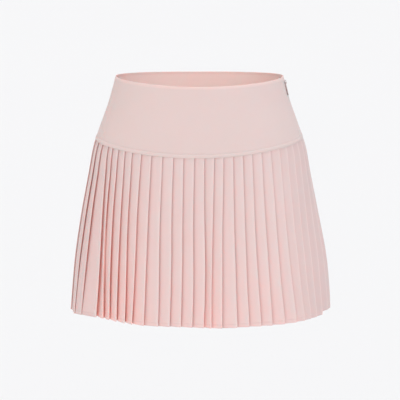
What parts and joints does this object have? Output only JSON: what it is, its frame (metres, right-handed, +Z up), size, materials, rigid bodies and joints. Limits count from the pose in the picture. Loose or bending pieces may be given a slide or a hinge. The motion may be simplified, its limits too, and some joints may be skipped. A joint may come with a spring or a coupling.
{
  "type": "pleated golf skirt",
  "caption": "Short pleated sports skirt, filled out as when worn: a smooth shaped yoke with a side zip over evenly pressed knife pleats, open at waist and hem.",
  "frame": {"origin": "middle of the waist opening, level with the waist edge at the sides", "axes": "+Z up along the skirt from hem to waist, +X towards the wearer's left side and its zip, -Y towards the front"},
  "size_m": [0.4107, 0.2438, 0.377],
  "materials": {
    "yoke_cloth": "smooth matt woven cloth, pale dusty pink",
    "pleat_cloth": "smooth matt woven cloth, pale pink, pressed in pleats",
    "zip_tape_cloth": "fine woven tape, pink",
    "zip_metal": "pinkish grey enamelled metal"
  },
  "bodies": {
    "skirt": {"yoke_front": "yoke_cloth", "yoke_back": "yoke_cloth", "pleats_front": "pleat_cloth", "pleats_back": "pleat_cloth", "zip_tape": "zip_tape_cloth", "zip_slider": "zip_metal"},
    "pull": {"zip_pull": "zip_metal"}
  },
  "joints": [
    {"name": "pull_swing", "type": "hinge", "parent": "skirt", "child": "pull", "pos_m": [0.13267, -0.01505, -0.00873], "axis": [-0.1528, -0.9784, 0.1391], "range_deg": [0, 150]}
  ]
}
